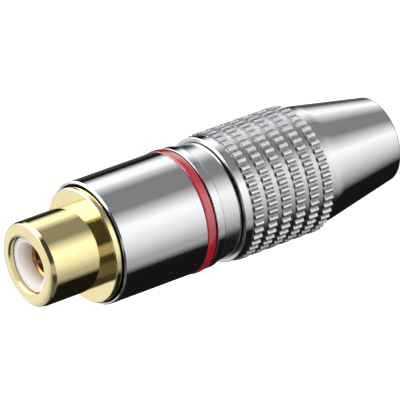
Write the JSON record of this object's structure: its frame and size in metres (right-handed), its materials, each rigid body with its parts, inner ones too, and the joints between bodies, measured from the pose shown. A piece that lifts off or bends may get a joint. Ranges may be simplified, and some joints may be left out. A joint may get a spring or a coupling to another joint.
{
  "type": "in-line phono socket",
  "caption": "In-line phono socket: plated jack sleeve in a polished barrel with a red colour ring, and a knurled back shell that screws over the cable clamp.",
  "frame": {"origin": "centre of the tail face that the part stands on", "axes": "+Z along the connector's axis, from the cable end to the jack's mouth"},
  "size_m": [0.0128, 0.0128, 0.0409],
  "materials": {
    "gold_plate": "gold plated, polished",
    "white_insulator": "turned, satin",
    "tinned_brass": "tin plated, dull",
    "chrome_plate": "polished",
    "red_plastic": "glossy",
    "fibre_tube": "matt",
    "black_nylon": "moulded, satin"
  },
  "bodies": {
    "shell": {"back_shell": "chrome_plate"},
    "clamp": {"clamp_collet": "black_nylon"},
    "socket": {"contact_sleeve": "gold_plate", "front_insulator": "white_insulator", "rear_insulator": "white_insulator", "centre_contact": "gold_plate", "ground_tag": "tinned_brass", "lock_nut": "tinned_brass", "front_barrel": "chrome_plate", "colour_ring": "red_plastic", "rear_body": "chrome_plate", "insulating_tube": "fibre_tube"}
  },
  "joints": [
    {"name": "shell_turn", "type": "hinge", "parent": "shell", "child": "clamp", "pos_m": [0, 0, 0.0105], "axis": [0, 0, 1], "range_deg": [0, 2520]},
    {"name": "shell_travel", "type": "slide", "parent": "clamp", "child": "socket", "axis": [0, 0, 1], "range_m": [0, 0.00525]}
  ],
  "couplings": [
    {"joint": "shell_travel", "follows": "shell_turn", "m_per_rad": 0.00011937}
  ]
}
